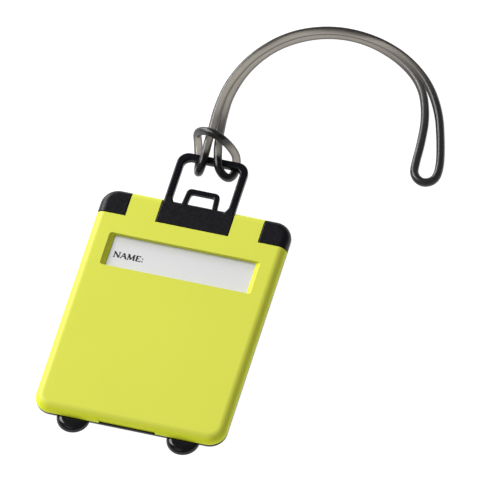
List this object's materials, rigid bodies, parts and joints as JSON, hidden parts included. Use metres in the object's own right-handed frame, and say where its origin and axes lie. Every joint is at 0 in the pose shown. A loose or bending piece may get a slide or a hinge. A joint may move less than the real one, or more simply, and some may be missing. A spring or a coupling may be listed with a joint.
{
  "type": "luggage tag",
  "caption": "Luggage tag shaped like a small trolley case, with a name card behind a window, a slide-out card tray with a pull handle, fixed wheels and a clear smoky cord loop.",
  "frame": {"origin": "on the resting plane, at the middle of the tag's width and midway from the wheels to the handle's top bar, without the cord", "axes": "+X across the tag to its right, +Y from the wheels towards the pull handle, +Z out of the front face"},
  "size_m": [0.0897, 0.1445, 0.0102],
  "materials": {
    "cover_yellow": "satin moulded plastic",
    "cover_black": "satin moulded plastic",
    "trim_black": "fine matt texture",
    "wheel_black": "glossy",
    "card_white": "matt printed card",
    "strap_smoke": "clear smoky soft plastic"
  },
  "bodies": {
    "case": {"front_cover": "cover_yellow", "back_cover": "cover_black", "corner_guard_left": "trim_black", "corner_guard_right": "trim_black", "wheel_left": "wheel_black", "wheel_right": "wheel_black"},
    "slide": {"card_slide": "trim_black", "name_card": "card_white", "strap_loop": "strap_smoke"}
  },
  "joints": [
    {"name": "card_tray_slide", "type": "slide", "parent": "case", "child": "slide", "axis": [0, 1, 0], "range_m": [0, 0.052]}
  ]
}
